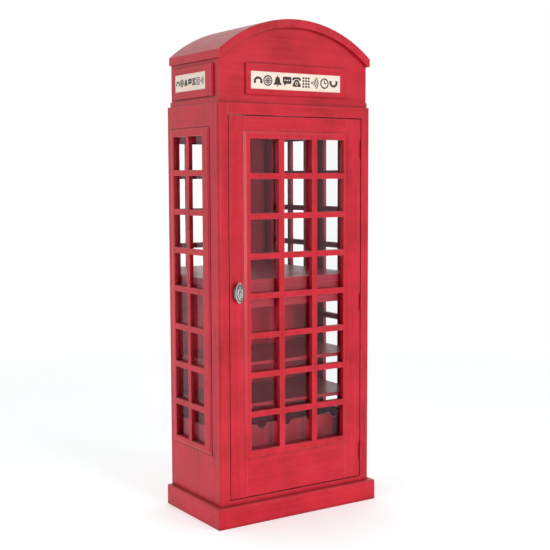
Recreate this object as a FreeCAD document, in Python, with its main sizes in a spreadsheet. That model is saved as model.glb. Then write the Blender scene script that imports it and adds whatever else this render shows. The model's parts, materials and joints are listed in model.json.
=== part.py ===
import FreeCAD, Part
import Sketcher
import os
import re

# A painted wooden display cabinet in the shape of a red telephone booth: a plinth, a glazed body with
# one front door, a header with three sign plates, and a barrel-vault roof.
#
# Frame: millimetres, +Z up, the front faces -Y, and the origin is on the floor under the middle of the
# whole object's box, which runs from the nose of the door knob to the back of the plinth.

Vector = FreeCAD.Vector
X_AXIS = Vector(1, 0, 0)
Y_AXIS = Vector(0, 1, 0)
Z_AXIS = Vector(0, 0, 1)

doc = FreeCAD.newDocument("telephone_booth_cabinet")

# ---------------------------------------------------------------------------------------------------
# Driving dimensions
# ---------------------------------------------------------------------------------------------------

DIMENSIONS = [
    # alias, millimetres, what it is
    ("front_y", -135, "Y of the body's front face"),
    ("body_width", 512, "outside width of the body"),
    ("body_depth", 288, "outside depth of the body"),
    ("body_top", 1165, "height of the body's top above the floor"),
    ("plinth_height", 58, "height of the plinth"),
    ("plinth_side", 15, "how far the plinth stands out at each side"),
    ("plinth_front", 16, "how far the plinth stands out at the front"),
    ("plinth_back", 4, "how far the plinth stands out at the back"),
    ("plinth_board", 22, "thickness of the plinth boards"),
    ("plinth_round", 4.5, "rounding of the plinth's upper edges"),
    ("corner_round", 7, "rounding of the body's front corners"),
    ("edge_round", 1.2, "rounding of other painted edges"),
    ("face_board", 16, "thickness of the frame round the door opening"),
    ("face_stile", 30, "width of that frame's uprights"),
    ("face_sill", 14, "height of the rail under the door"),
    ("face_head", 31, "height of the rail over the door"),
    ("side_board", 20, "thickness of the side panels"),
    ("side_margin", 31.3, "width of a side panel's wide upright that shows in front of the sash"),
    ("side_gap", 3, "shadow groove in front of a side sash"),
    ("side_lip", 12, "how far a side panel's rebate reaches behind the sash"),
    ("side_sash_board", 12, "thickness of a side sash"),
    ("side_border_wide", 38, "width of a side sash's wide upright"),
    ("side_border_narrow", 20, "width of a side sash's narrow upright"),
    ("side_border_low", 19.6, "height of a side sash's bottom rail"),
    ("side_border_high", 22.4, "height of a side sash's top rail"),
    ("side_pane_width", 75.2, "width of a side pane"),
    ("side_bar", 15.7, "width of the upright bar between the side panes"),
    ("side_sill", 194, "height of a side sash's lower edge above the floor"),
    ("pane_height", 93.9, "height of every pane"),
    ("cross_bar", 16.4, "height of every level bar"),
    ("proud", 2.5, "how far the sashes stand out of the face round them"),
    ("slope_width", 9, "width of the slope along a sash's outer edges"),
    ("slope_depth", 2.2, "depth of that slope"),
    ("overcut", 1, "how far a cutting block reaches past the wood it cuts"),
    ("glass_thick", 3, "thickness of the glass"),
    ("bead_side", 6, "width of the glazing beads"),
    ("door_gap", 2.5, "gap round the door"),
    ("door_board", 20, "thickness of the door"),
    ("door_sash_half", 178, "half the width of the door sash"),
    ("door_sash_board", 16, "thickness of the door sash"),
    ("door_sash_gap", 0.8, "groove round the door sash"),
    ("door_sash_sill", 182.6, "height of the door sash's lower edge above the floor"),
    ("door_border", 20.7, "width of the door sash's left upright and top rail"),
    ("door_border_low", 21.6, "height of the door sash's bottom rail"),
    ("door_pane_width", 94.5, "width of a door pane"),
    ("door_bar", 17.2, "width of the upright bars between the door panes"),
    ("door_lip", 8, "how far the door's rebate reaches behind the sash"),
    ("back_inset", 2.5, "how deep the back panel sits inside the back edges"),
    ("back_board", 9, "thickness of the back panel"),
    ("mirror_thick", 4, "thickness of the mirror"),
    ("top_board", 18, "thickness of the body's top board"),
    ("bottom_board", 14, "thickness of the body's bottom board"),
    ("shelf_front_y", -112.7, "Y of the shelves' front edges"),
    ("shelf_play", 0.5, "gap at each end of a loose shelf"),
    ("upper_shelf_top", 682, "height of the upper shelf above the floor"),
    ("upper_shelf_thick", 18, "thickness of the upper shelf"),
    ("apron_height", 61, "height of the rail under the upper shelf"),
    ("apron_thick", 14, "thickness of that rail"),
    ("middle_shelf_top", 450, "height of the middle shelf above the floor"),
    ("lower_shelf_top", 332, "height of the lower shelf above the floor"),
    ("shelf_thick", 10, "thickness of the two loose shelves"),
    ("pin_radius", 2.5, "radius of the shelf pins"),
    ("pin_length", 18, "length of the shelf pins"),
    ("pin_depth", 10, "length of a shelf pin inside the side panel"),
    ("pin_front_y", -104, "Y of the front shelf pins"),
    ("pin_back_y", 131, "Y of the back shelf pins"),
    ("rack_board_top", 200, "height of the bottle rack's board above the floor"),
    ("rack_board_thick", 14, "thickness of the bottle rack's board"),
    ("rack_front_y", -78.7, "Y of the front face of the rack's neck rail"),
    ("rack_back_y", 60, "Y of the front face of the rack's body rail"),
    ("rack_rail_thick", 12, "thickness of both rack rails"),
    ("rack_cheek_thick", 12, "thickness of the rack's side boards"),
    ("neck_rail_height", 62, "height of the rack's neck rail"),
    ("body_rail_height", 46, "height of the rack's body rail"),
    ("cradle_pitch", 86, "distance from one bottle to the next"),
    ("neck_radius", 14.5, "radius of the neck cradles"),
    ("bottle_radius", 38, "radius of the body cradles"),
    ("bottle_axis", 74, "height of a bottle's axis above the rack board, at the body rail"),
    ("header_inset", 8.5, "how far the header stands in from the body on every side"),
    ("header_board", 16, "thickness of the header's boards"),
    ("header_top", 1283, "height of the eaves above the floor"),
    ("strip_height", 14, "height of the strip along the header's foot"),
    ("strip_proud", 4, "thickness of that strip"),
    ("roof_half", 254, "half the width of the roof"),
    ("roof_front", 11.3, "how far the roof stands out of the header's front"),
    ("roof_back", 1.3, "how far the roof stands out of the header's back"),
    ("roof_edge", 22, "height of the roof's upright edge at the eaves"),
    ("roof_top", 1400, "height of the roof's crown above the floor"),
    ("vault_half", 248, "half the width of the vault under the roof"),
    ("vault_rise", 94.5, "rise of that vault"),
    ("sign_board", 6, "thickness of the sign frames"),
    ("sign_round", 4, "rounding of the sign frames' outer edges"),
    ("sign_recess", 0.8, "how deep the plates sit inside their frames"),
    ("plate_low", 1205, "height of the plates' lower edge above the floor"),
    ("plate_height", 47.5, "height of the plates"),
    ("front_plate_width", 301, "width of the front plate"),
    ("front_frame_width", 333, "width of the front sign frame"),
    ("front_frame_low", 1189, "height of the front sign frame's lower edge above the floor"),
    ("front_frame_height", 86, "height of the front sign frame"),
    ("side_plate_y", -62, "Y of the front end of the left plate"),
    ("side_plate_width", 173, "width of a side plate"),
    ("side_frame_y", -100, "Y of the front end of the left sign frame"),
    ("side_frame_width", 232, "width of a side sign frame"),
    ("side_frame_low", 1184, "height of the side sign frames' lower edge above the floor"),
    ("side_frame_height", 88, "height of the side sign frames"),
    ("hinge_height", 48, "height of a hinge"),
    ("knuckle_radius", 3.5, "radius of a hinge knuckle"),
    ("hinge_stand", 4, "how far the hinge axis stands in front of the body's front face"),
    ("leaf_thick", 1, "thickness of a hinge leaf"),
    ("leaf_depth", 14, "depth of a hinge leaf behind the front face"),
    ("leaf_clear", 0.4, "gap between a leaf and the other leaf's knuckles"),
    ("hinge_pin_radius", 1.5, "radius of a hinge pin"),
    ("hinge_pin_head", 3, "radius of a hinge pin's two heads"),
    ("hinge_pin_cap", 1.6, "thickness of those heads"),
    ("hinge_fit", 0.05, "running clearance of the door's knuckles round the pin"),
    ("screw_head", 2.6, "radius of a hinge screw's head"),
    ("screw_shank", 1.3, "radius of a hinge screw's shank"),
    ("screw_length", 14, "length of a hinge screw"),
    ("knob_x", -200.7, "X of the knob"),
    ("knob_z", 651, "height of the knob above the floor"),
    ("knob_reach", 22, "how far the knob stands out of the door"),
    ("knob_half_width", 14, "half the width of the knob"),
    ("knob_half_height", 30, "half the height of the knob"),
    ("knob_half_depth", 7.5, "half the depth of the knob's head"),
    ("knob_stem", 5, "radius of the knob's stem"),
    ("knob_screw_head", 4, "radius of the knob screw's head"),
    ("knob_screw_shank", 2, "radius of the knob screw's shank"),
    ("knob_screw_sink", 2.5, "depth of that screw's countersunk head"),
    ("knob_screw_bite", 9, "how far that screw reaches into the knob's stem"),
    ("rose_thick", 2.5, "thickness of the plate behind the knob"),
    ("rose_half_width", 11, "half the width of that plate"),
    ("rose_half_height", 19, "half the height of that plate"),
    ("catch_x", -150, "X of the left end of the magnetic catch"),
    ("catch_width", 40, "width of the magnetic catch"),
    ("catch_depth", 14, "depth of the magnetic catch"),
    ("catch_height", 29, "height of the magnetic catch"),
    ("catch_air", 0.4, "air between the catch and its plate"),
    ("strike_thick", 1, "thickness of the catch's steel plate"),
    ("strike_height", 14, "height of that plate"),
    ("strike_margin", 2, "how far that plate stays inside the catch's ends and the door's upper edge"),
]

HINGE_HEIGHTS = {"top": 1043, "middle": 600, "bottom": 149}
DOOR_COLUMNS = 3
SIDE_COLUMNS = 2
ROWS = 8
BOTTLES = 5

sheet = doc.addObject("Spreadsheet::Sheet", "dims")
value = {}
for row, (alias, millimetres, meaning) in enumerate(DIMENSIONS, start=1):
    sheet.set("A%d" % row, meaning)
    sheet.set("B%d" % row, str(millimetres))
    sheet.setAlias("B%d" % row, alias)
    value[alias] = millimetres
doc.recompute()

# Places worked out from the driving dimensions, as expressions in their names
FRONT = "front_y"
BACK = "(front_y + body_depth)"
HALF = "(body_width / 2)"
INSIDE = "(body_width / 2 - side_board)"
SIDE_FRONT = "(front_y + face_board)"
OPENING = "(body_width / 2 - face_stile)"
DOOR_HALF = "(body_width / 2 - face_stile - door_gap)"
DOOR_LOW = "(plinth_height + face_sill + door_gap)"
DOOR_HIGH = "(body_top - face_head - door_gap)"
DOOR_INNER = "(front_y + door_board)"
DOOR_REBATE = "(door_sash_board - proud)"
SIDE_REBATE = "(side_sash_board - proud)"
GRID_HEIGHT = "(%d * pane_height + %d * cross_bar)" % (ROWS, ROWS - 1)
SIDE_GRID = "(%d * side_pane_width + %d * side_bar)" % (SIDE_COLUMNS, SIDE_COLUMNS - 1)
DOOR_SASH_HIGH = "(door_sash_sill + door_border_low + %s + door_border)" % GRID_HEIGHT
SIDE_SASH_HIGH = "(side_sill + side_border_low + %s + side_border_high)" % GRID_HEIGHT
SIDE_SASH_Y = "(%s + side_margin)" % SIDE_FRONT
SIDE_SASH_END = "(%s + side_border_wide + %s + side_border_narrow)" % (SIDE_SASH_Y, SIDE_GRID)
BACK_FACE = "(front_y + body_depth - back_inset - back_board)"
HEADER_HALF = "(body_width / 2 - header_inset)"
HEADER_FRONT = "(front_y + header_inset)"
HEADER_BACK = "(front_y + body_depth - header_inset)"
HINGE_X = "(body_width / 2 - face_stile - door_gap / 2)"
HINGE_Y = "(front_y - hinge_stand)"


def expression(text):
    """The text with each dimension's name turned into a reference to the sheet."""
    return re.sub(r"[a-z_]{2,}", lambda word: "dims." + word.group(0), text)


def number(text):
    """The same expression worked out here, for the places that take a plain number."""
    total = sheet.evalExpression(expression(text))
    return float(getattr(total, "Value", total))


# ---------------------------------------------------------------------------------------------------
# Small helpers
# ---------------------------------------------------------------------------------------------------

sub_parts = []
SAME = 0.01  # places closer together than this are one place


def part(thing, label):
    """Name a finished piece and put it on the list of sub-parts."""
    thing.Label = label
    sub_parts.append(thing)
    return thing


def bind(thing, **texts):
    for name, text in texts.items():
        thing.setExpression(name.replace("__", "."), expression(text))


def place(thing, x="0", y="0", z="0"):
    bind(thing, Placement__Base__x=x, Placement__Base__y=y, Placement__Base__z=z)


def box(x, y, z):
    """A block from (start, size) pairs along each axis."""
    block = doc.addObject("Part::Box", "block")
    bind(block, Length=x[1], Width=y[1], Height=z[1])
    place(block, x[0], y[0], z[0])
    return block


def cylinder(radius, length, axis, x="0", y="0", z="0"):
    """A round bar that starts at a point and runs along an axis."""
    bar = doc.addObject("Part::Cylinder", "bar")
    bar.Placement = FreeCAD.Placement(Vector(), FreeCAD.Rotation(Z_AXIS, axis))
    bind(bar, Radius=radius, Height=length)
    place(bar, x, y, z)
    return bar


def cut(base, tool):
    result = doc.addObject("Part::Cut", "cut")
    result.Base = base
    result.Tool = tool
    return result


def fuse(pieces):
    result = doc.addObject("Part::MultiFuse", "fuse")
    result.Shapes = pieces
    result.Refine = True
    return result


def group(pieces):
    """Several separate solids that share one node."""
    result = doc.addObject("Part::Compound", "group")
    result.Links = pieces
    return result


def rounded(base, radius, wanted):
    """The piece with a rounding on each edge that `wanted` picks by the edge's middle."""
    doc.recompute()
    picked = []
    for index, edge in enumerate(base.Shape.Edges, start=1):
        middle = edge.valueAt((edge.FirstParameter + edge.LastParameter) / 2)
        if wanted(middle):
            picked.append((index, value[radius], value[radius]))
    if not picked:
        raise RuntimeError("no edge to round on " + base.Label)
    result = doc.addObject("Part::Fillet", "rounded")
    result.Base = base
    result.Edges = picked
    return result


def near(a, text):
    return abs(a - number(text)) < SAME


def turned(thing):
    """The right side panel is the left one turned round: half a turn about the upright axis that runs
    through the middle of the side panels."""
    thing.Placement = FreeCAD.Placement(Vector(), FreeCAD.Rotation(Z_AXIS, 180))
    bind(thing, Placement__Base__y="2 * %s + body_depth - face_board" % SIDE_FRONT)
    return thing


def new_body(name):
    return doc.addObject("PartDesign::Body", name)


def origin_plane(body, role):
    return [plane for plane in body.Origin.OriginFeatures if plane.Role == role][0]


def new_sketch(body, role, name):
    sketch = body.newObject("Sketcher::SketchObject", name)
    sketch.AttachmentSupport = [(origin_plane(body, role), "")]
    sketch.MapMode = "FlatFace"
    return sketch


def outline(sketch, points):
    """Closed outline. A point is (u, v); an arc is ((through u, v), (end u, v)) from the point before.
    A last arc may end on the first point; otherwise a straight line closes the outline."""
    start = points[0]
    here = start
    curves = []
    closing = [] if points[-1][-1] == start else [start]
    for step in points[1:] + closing:
        bent = isinstance(step[0], tuple)
        end = step[1] if bent else step
        if bent:
            a, b, c = [Vector(p[0], p[1], 0) for p in (here, step[0], end)]
            curves.append(Part.Arc(a, b, c))
        else:
            curves.append(Part.LineSegment(Vector(here[0], here[1], 0), Vector(end[0], end[1], 0)))
        here = end
    sketch.addGeometry(curves, False)
    return sketch


def rectangle(sketch, left, low, width, height):
    """A rectangle whose corner and size are bound to expressions."""
    corners = [(number(left) + du * number(width), number(low) + dv * number(height))
               for du, dv in ((0, 0), (1, 0), (1, 1), (0, 1))]
    outline(sketch, corners)
    for line in range(4):
        sketch.addConstraint(Sketcher.Constraint("Coincident", line, 2, (line + 1) % 4, 1))
    for line, direction in enumerate(("Horizontal", "Vertical", "Horizontal", "Vertical")):
        sketch.addConstraint(Sketcher.Constraint(direction, line))
    sizes = (
        ("left", Sketcher.Constraint("DistanceX", -1, 1, 0, 1, number(left)), left),
        ("low", Sketcher.Constraint("DistanceY", -1, 1, 0, 1, number(low)), low),
        ("width", Sketcher.Constraint("DistanceX", 0, 1, 0, 2, number(width)), width),
        ("height", Sketcher.Constraint("DistanceY", 1, 1, 1, 2, number(height)), height),
    )
    for name, constraint, text in sizes:
        index = sketch.addConstraint(constraint)
        sketch.renameConstraint(index, name)
        sketch.setExpression("Constraints." + name, expression(text))


def padded(body, sketch, length, wanted_side, axis):
    """Pad the sketch and turn the pad round if it grew to the wrong side of the sketch."""
    pad = body.newObject("PartDesign::Pad", "pad")
    pad.Profile = sketch
    bind(pad, Length=length)
    doc.recompute()
    if pad.Shape.BoundBox.Center.dot(axis) * wanted_side < 0:
        pad.Reversed = True
        doc.recompute()
    return pad


def window_grid(name, role, axis, size, first_pane, pane, steps, counts):
    """One flat sash with a grid of panes cut through it. Its outer face lies on the sketch plane, and a
    shallow slope runs along its outer edges, from that face back to the full width and height.
    size: left, low, width, height, thickness; first_pane: left, low; pane: width, height;
    steps and counts: pitch and number of panes along both directions."""
    body = new_body(name)
    left, low, width, height, thick = size
    face = new_sketch(body, role, "face")
    rectangle(face, left + " + slope_width", low + " + slope_width",
              width + " - 2 * slope_width", height + " - 2 * slope_width")
    rim = new_sketch(body, role, "rim")
    rectangle(rim, left, low, width, height)
    plane_normal = origin_plane(body, role).Placement.Rotation.multVec(Z_AXIS)
    inward = "slope_depth" if plane_normal.dot(axis) > 0 else "-slope_depth"
    bind(rim, AttachmentOffset__Base__z=inward)
    doc.recompute()
    slope = body.newObject("PartDesign::AdditiveLoft", "slope")
    slope.Profile = face
    slope.Sections = [rim]
    slope.Ruled = True
    doc.recompute()
    pad = padded(body, rim, "%s - slope_depth" % thick, 1, axis)
    solid = pad.Shape.Volume

    hole = new_sketch(body, role, "pane")
    rectangle(hole, first_pane[0], first_pane[1], pane[0], pane[1])
    pocket = body.newObject("PartDesign::Pocket", "pane_cut")
    pocket.Profile = hole
    pocket.Type = "ThroughAll"
    pocket.Midplane = True
    doc.recompute()
    if solid - pocket.Shape.Volume < 0.9 * number(pane[0]) * number(pane[1]) * number(thick):
        raise RuntimeError("the pane does not go through " + name)

    grid = body.newObject("PartDesign::MultiTransform", "grid")
    patterns = []
    for direction, step, count in zip(("H_Axis", "V_Axis"), steps, counts):
        pattern = doc.addObject("PartDesign::LinearPattern", "row_of_panes")
        body.addObject(pattern)
        pattern.Direction = (hole, [direction])
        pattern.Occurrences = count
        bind(pattern, Length="%d * (%s)" % (count - 1, step))
        patterns.append(pattern)
    grid.Originals = [pocket]
    grid.Transformations = patterns
    body.Tip = grid
    doc.recompute()
    left_over = solid - counts[0] * counts[1] * number(pane[0]) * number(pane[1]) * number(thick)
    if abs(grid.Shape.Volume - left_over) > 1:
        raise RuntimeError("panes are missing from " + name)
    return body


# ---------------------------------------------------------------------------------------------------
# Plinth
# ---------------------------------------------------------------------------------------------------

def plinth():
    """Four boards on edge; the front and back ones cover the ends of the side ones."""
    half = "(body_width / 2 + plinth_side)"
    low_y = "(front_y - plinth_front)"
    high_y = "(%s + plinth_back)" % BACK
    height = ("0", "plinth_height")
    across = ("-%s" % half, "2 * %s" % half)
    along = ("%s + plinth_board" % low_y, "%s - %s - 2 * plinth_board" % (high_y, low_y))

    def outer_edge(middle):
        at_top = near(middle.z, "plinth_height")
        end = near(abs(middle.x), half)
        face = near(middle.y, low_y) or near(middle.y, high_y)
        return (at_top and (end or face)) or (end and face)

    def outer_top_edge(middle):
        return near(middle.z, "plinth_height") and near(abs(middle.x), half)

    front = box(across, (low_y, "plinth_board"), height)
    part(rounded(front, "plinth_round", outer_edge), "plinth_front")
    back = box(across, ("%s - plinth_board" % high_y, "plinth_board"), height)
    part(rounded(back, "plinth_round", outer_edge), "plinth_back")
    for label, start in (("plinth_left", "-%s" % half), ("plinth_right", "%s - plinth_board" % half)):
        side = box((start, "plinth_board"), along, height)
        part(rounded(side, "plinth_round", outer_top_edge), label)


# ---------------------------------------------------------------------------------------------------
# Hinges
# ---------------------------------------------------------------------------------------------------

KNUCKLES = 5
SCREW_OFFSETS = (-16, 0, 16)  # heights of a leaf's screws above and below the hinge's middle


def hinge_leaf(centre, side, own_knuckles, bore):
    """One leaf: a plate in the door's gap, its own knuckles, and a tab from each knuckle to the plate.
    side is -1 for the door's leaf and +1 for the frame's."""
    low = "(%g - hinge_height / 2)" % centre
    step = "(hinge_height / %d)" % KNUCKLES
    if side < 0:
        start_x = "%s - door_gap / 2" % HINGE_X
    else:
        start_x = "%s + door_gap / 2 - leaf_thick" % HINGE_X
    plate_y = "%s + knuckle_radius + leaf_clear" % HINGE_Y
    plate = box((start_x, "leaf_thick"), (plate_y, "front_y + leaf_depth - (%s)" % plate_y),
                (low, "hinge_height"))
    pieces = [plate]
    for index in own_knuckles:
        z = "%s + %d * %s + leaf_clear / 4" % (low, index, step)
        size = "%s - leaf_clear / 2" % step
        pieces.append(cylinder("knuckle_radius", size, Z_AXIS, HINGE_X, HINGE_Y, z))
        tab_depth = "knuckle_radius + leaf_clear + leaf_thick"
        pieces.append(box((start_x, "leaf_thick"), (HINGE_Y, tab_depth), (z, size)))
    drill = cylinder(bore, "hinge_height + 2 * overcut", Z_AXIS, HINGE_X, HINGE_Y, low + " - overcut")
    return cut(fuse(pieces), drill)


def hinge_screw(centre, offset, side):
    """A countersunk screw through a leaf into the wood beside it."""
    axis = X_AXIS * side
    y = "front_y + leaf_depth / 2"
    z = "%g + %g" % (centre, offset)
    head_x = "%s %s (door_gap / 2 - leaf_thick)" % (HINGE_X, "-" if side < 0 else "+")
    head = doc.addObject("Part::Cone", "head")
    head.Placement = FreeCAD.Placement(Vector(), FreeCAD.Rotation(Z_AXIS, axis))
    bind(head, Radius1="screw_head", Radius2="screw_shank", Height="leaf_thick")
    place(head, head_x, y, z)
    shank = cylinder("screw_shank", "screw_length", axis, head_x, y, z)
    return fuse([head, shank])


def hinge_screws(side):
    return group([hinge_screw(centre, offset, side)
                  for centre in HINGE_HEIGHTS.values() for offset in SCREW_OFFSETS])


def hinges(frame_screws, door_screws):
    frame_leaves = []
    door_leaves = []
    pins = []
    for centre in HINGE_HEIGHTS.values():
        frame_leaves.append(hinge_leaf(centre, 1, (0, 2, 4), "hinge_pin_radius"))
        door_leaves.append(hinge_leaf(centre, -1, (1, 3), "hinge_pin_radius + hinge_fit"))
        low = "%g - hinge_height / 2" % centre
        shaft = cylinder("hinge_pin_radius", "hinge_height", Z_AXIS, HINGE_X, HINGE_Y, low)
        heads = []
        for z in (low + " - hinge_pin_cap", low + " + hinge_height"):
            heads.append(cylinder("hinge_pin_head", "hinge_pin_cap", Z_AXIS, HINGE_X, HINGE_Y, z))
        pins.append(fuse([shaft] + heads))
    part(cut(group(frame_leaves), frame_screws), "hinge_frame_leaves")
    part(cut(group(door_leaves), door_screws), "hinge_door_leaves")
    part(group(pins), "hinge_pins")
    part(frame_screws, "hinge_frame_screws")
    part(door_screws, "hinge_door_screws")


# ---------------------------------------------------------------------------------------------------
# Frame round the door opening
# ---------------------------------------------------------------------------------------------------

def face_frame(frame_screws):
    def body_corner(middle):
        return near(abs(middle.x), HALF) and near(middle.y, FRONT)

    depth = (FRONT, "face_board")
    for label, start in (("face_left_stile", "-%s" % HALF), ("face_right_stile", OPENING)):
        stile = box((start, "face_stile"), depth, ("plinth_height", "body_top - plinth_height"))
        if label == "face_right_stile":
            stile = cut(stile, frame_screws)
        part(rounded(stile, "corner_round", body_corner), label)
    across = ("-%s" % OPENING, "2 * %s" % OPENING)
    part(box(across, depth, ("plinth_height", "face_sill")), "face_bottom_rail")
    part(box(across, depth, ("body_top - face_head", "face_head")), "face_top_rail")


# ---------------------------------------------------------------------------------------------------
# Side panels
# ---------------------------------------------------------------------------------------------------

def shelf_pins():
    """Four pins under each loose shelf, half sunk in the side panels."""
    pins = []
    for top in ("middle_shelf_top", "lower_shelf_top"):
        z = "%s - shelf_thick - pin_radius" % top
        for y in ("pin_front_y", "pin_back_y"):
            pins.append(cylinder("pin_radius", "pin_length", X_AXIS, "-%s - pin_depth" % INSIDE, y, z))
            pins.append(cylinder("pin_radius", "pin_length", -X_AXIS, "%s + pin_depth" % INSIDE, y, z))
    return group(pins)


def side_panel(side, pins):
    """Two uprights, a top rail and a tall lower panel round the rebate that holds the sash. All pieces
    are made on the left; on the right each is turned round."""
    turn = turned if side == "right" else (lambda thing: thing)
    skin = ("-%s" % HALF, "side_board")
    rebate_x = ("-%s - overcut" % HALF, "%s + overcut" % SIDE_REBATE)
    rebate_y = ("%s - side_gap" % SIDE_SASH_Y, "%s - %s + side_gap" % (SIDE_SASH_END, SIDE_SASH_Y))
    rebate_z = ("side_sill - side_gap / 2", "%s - side_sill + side_gap" % SIDE_SASH_HIGH)
    wide_end = "(%s + side_lip)" % SIDE_SASH_Y
    narrow_start = "(%s - side_lip)" % SIDE_SASH_END
    full_height = ("plinth_height", "body_top - plinth_height")
    between = (wide_end, "%s - %s" % (narrow_start, wide_end))
    low_end = "(side_sill + side_lip)"
    high_start = "(%s - side_lip)" % SIDE_SASH_HIGH

    def rebated(y, z):
        return turn(cut(box(skin, y, z), box(rebate_x, rebate_y, rebate_z)))

    def bored(thing, label):
        return part(cut(thing, pins), label)

    names = ("front", "rear") if side == "left" else ("rear", "front")
    wide = rebated((SIDE_FRONT, "%s - %s" % (wide_end, SIDE_FRONT)), full_height)
    narrow = rebated((narrow_start, "%s - %s" % (BACK, narrow_start)), full_height)
    bored(wide, "%s_%s_stile" % (side, names[0]))
    bored(narrow, "%s_%s_stile" % (side, names[1]))
    part(rebated(between, (high_start, "body_top - %s" % high_start)), side + "_top_rail")
    part(rebated(between, ("plinth_height", "%s - plinth_height" % low_end)), side + "_lower_panel")

    sash_width = "%s - %s" % (SIDE_SASH_END, SIDE_SASH_Y)
    sash = window_grid(
        side + "_sash", "YZ_Plane", X_AXIS,
        size=(SIDE_SASH_Y, "side_sill", sash_width, "%s - side_sill" % SIDE_SASH_HIGH, "side_sash_board"),
        first_pane=("%s + side_border_wide" % SIDE_SASH_Y, "side_sill + side_border_low"),
        pane=("side_pane_width", "pane_height"),
        steps=("side_pane_width + side_bar", "pane_height + cross_bar"),
        counts=(SIDE_COLUMNS, ROWS))
    turn(sash)
    outer = "(%s + proud)" % HALF
    bind(sash, Placement__Base__x=outer if side == "right" else "-" + outer)
    part(sash, side + "_sash")

    glass_x = "-%s + %s" % (HALF, SIDE_REBATE)
    opening_z = (low_end, "%s - %s" % (high_start, low_end))
    glass = turn(group([box((glass_x, "glass_thick"), between, opening_z)]))
    bead_x = ("%s + glass_thick" % glass_x, "bead_side")
    upright = (opening_z[0], opening_z[1])
    beads = [
        box(bead_x, (wide_end, "bead_side"), upright),
        box(bead_x, ("%s - bead_side" % narrow_start, "bead_side"), upright),
        box(bead_x, ("%s + bead_side" % wide_end, "%s - 2 * bead_side" % between[1]),
            (low_end, "bead_side")),
        box(bead_x, ("%s + bead_side" % wide_end, "%s - 2 * bead_side" % between[1]),
            ("%s - bead_side" % high_start, "bead_side")),
    ]
    return glass, turn(group(beads))


def side_panels(pins):
    left_glass, left_beads = side_panel("left", pins)
    right_glass, right_beads = side_panel("right", pins)
    part(group([left_glass, right_glass]), "side_glass")
    part(group([left_beads, right_beads]), "side_glass_beads")


# ---------------------------------------------------------------------------------------------------
# Inside of the body
# ---------------------------------------------------------------------------------------------------

def carcass_boards():
    across = ("-%s" % INSIDE, "2 * %s" % INSIDE)
    depth = (SIDE_FRONT, "%s - %s" % (BACK_FACE, SIDE_FRONT))
    part(box(across, (BACK_FACE, "back_board"), ("plinth_height", "body_top - plinth_height")),
         "back_panel")
    part(box(across, depth, ("body_top - top_board", "top_board")), "top_board")
    part(box(across, depth, ("plinth_height", "bottom_board")), "bottom_board")
    mirror_z = ("upper_shelf_top", "body_top - top_board - upper_shelf_top")
    part(box(across, ("%s - mirror_thick" % BACK_FACE, "mirror_thick"), mirror_z), "mirror")


def shelves(pins):
    fixed = ("-%s" % INSIDE, "2 * %s" % INSIDE)
    loose = ("-%s + shelf_play" % INSIDE, "2 * %s - 2 * shelf_play" % INSIDE)
    depth = ("shelf_front_y", "%s - shelf_front_y" % BACK_FACE)

    def front_edge(middle):
        return near(middle.y, "shelf_front_y") and near(middle.x, "0")

    upper = box(fixed, depth, ("upper_shelf_top - upper_shelf_thick", "upper_shelf_thick"))
    part(rounded(upper, "edge_round", front_edge), "upper_shelf")
    apron = box(fixed, ("shelf_front_y + edge_round", "apron_thick"),
                ("upper_shelf_top - upper_shelf_thick - apron_height", "apron_height"))
    part(apron, "shelf_apron")
    for label, top in (("middle_shelf", "middle_shelf_top"), ("lower_shelf", "lower_shelf_top")):
        shelf = box(loose, depth, ("%s - shelf_thick" % top, "shelf_thick"))
        part(rounded(shelf, "edge_round", front_edge), label)
    part(pins, "shelf_pins")


def rack_rail(name, label, y, height, radius, centre_above):
    """A rail on edge with a round cradle in its top for each bottle. centre_above is the height of the
    cradles' centres above the rack board."""
    body = new_body(name)
    sketch = new_sketch(body, "XZ_Plane", "outline")
    half = number("%s - rack_cheek_thick" % INSIDE)
    low = number("rack_board_top")
    top = low + number(height)
    centre = low + number(centre_above)
    size = number(radius)
    reach = (size ** 2 - (centre - top) ** 2) ** 0.5
    points = [(-half, low), (half, low), (half, top)]
    for index in reversed(range(BOTTLES)):
        x = (index - (BOTTLES - 1) / 2) * number("cradle_pitch")
        points.append((x + reach, top))
        points.append(((x, centre - size), (x - reach, top)))
    points.append((-half, top))
    outline(sketch, points)
    padded(body, sketch, "rack_rail_thick", -1, Y_AXIS)
    place(body, y="%s + rack_rail_thick" % y)
    part(body, label)


def bottle_rack():
    board = box(("-%s" % INSIDE, "2 * %s" % INSIDE), ("shelf_front_y", "%s - shelf_front_y" % BACK_FACE),
                ("rack_board_top - rack_board_thick", "rack_board_thick"))
    part(board, "rack_board")
    depth = ("rack_front_y", "%s - rack_front_y" % BACK_FACE)
    height = ("rack_board_top", "neck_rail_height")
    cheeks = [box((start, "rack_cheek_thick"), depth, height)
              for start in ("-%s" % INSIDE, "%s - rack_cheek_thick" % INSIDE)]
    part(group(cheeks), "rack_cheeks")
    rack_rail("neck_rail", "rack_neck_rail", "rack_front_y", "neck_rail_height", "neck_radius",
              "neck_rail_height")
    rack_rail("body_rail", "rack_body_rail", "rack_back_y", "body_rail_height", "bottle_radius",
              "bottle_axis")


def catch():
    """A magnetic catch hangs under the top board, just behind the closed door."""
    front = "(%s + strike_thick + catch_air)" % DOOR_INNER
    low = "body_top - top_board - catch_height"
    part(box(("catch_x", "catch_width"), (front, "catch_depth"), (low, "catch_height")), "magnetic_catch")


# ---------------------------------------------------------------------------------------------------
# Header and roof
# ---------------------------------------------------------------------------------------------------

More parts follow.
